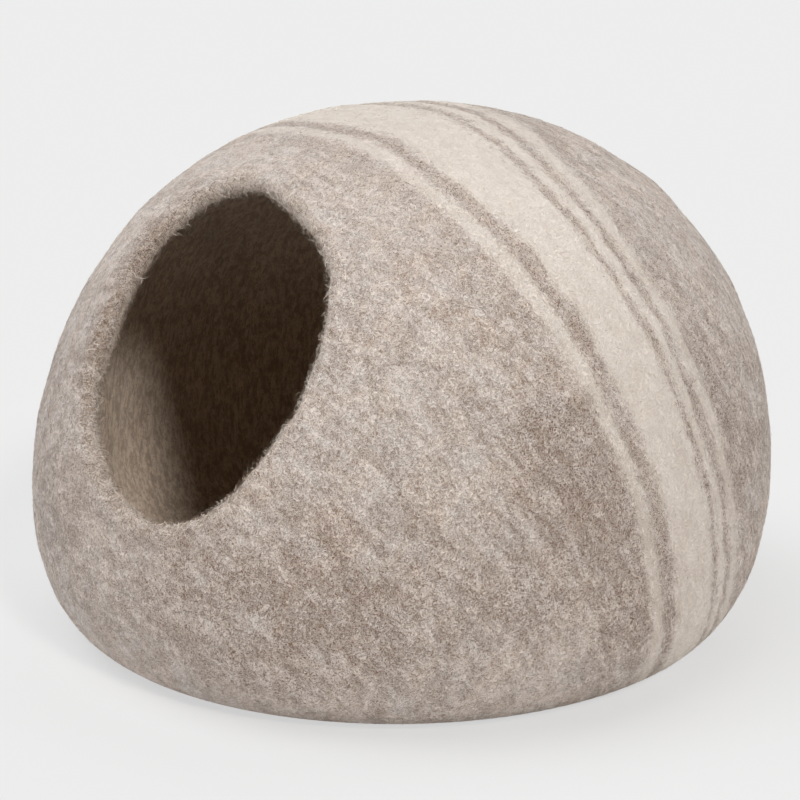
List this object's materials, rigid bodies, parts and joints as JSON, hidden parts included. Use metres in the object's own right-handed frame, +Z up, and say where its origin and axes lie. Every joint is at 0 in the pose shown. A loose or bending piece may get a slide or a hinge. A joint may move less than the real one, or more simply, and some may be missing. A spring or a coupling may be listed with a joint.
{
  "type": "felt cat cave",
  "caption": "Seamless thick felt cave for a cat: a round dome with a flat base, an upward-tipped oval doorway and cream stripes over a heathered grey-brown ground.",
  "frame": {"origin": "centre of the bounding box at floor level", "axes": "+Z up from the floor to the crown, the doorway faces -Y and is tipped up, +X to the right of someone looking along +Y into the doorway"},
  "size_m": [0.4402, 0.4398, 0.312],
  "materials": {
    "felt": "matte, fuzzy wet-felted wool, heathered grey-brown with cream stripes"
  },
  "bodies": {
    "root": {"felt_shell": "felt"}
  },
  "joints": []
}
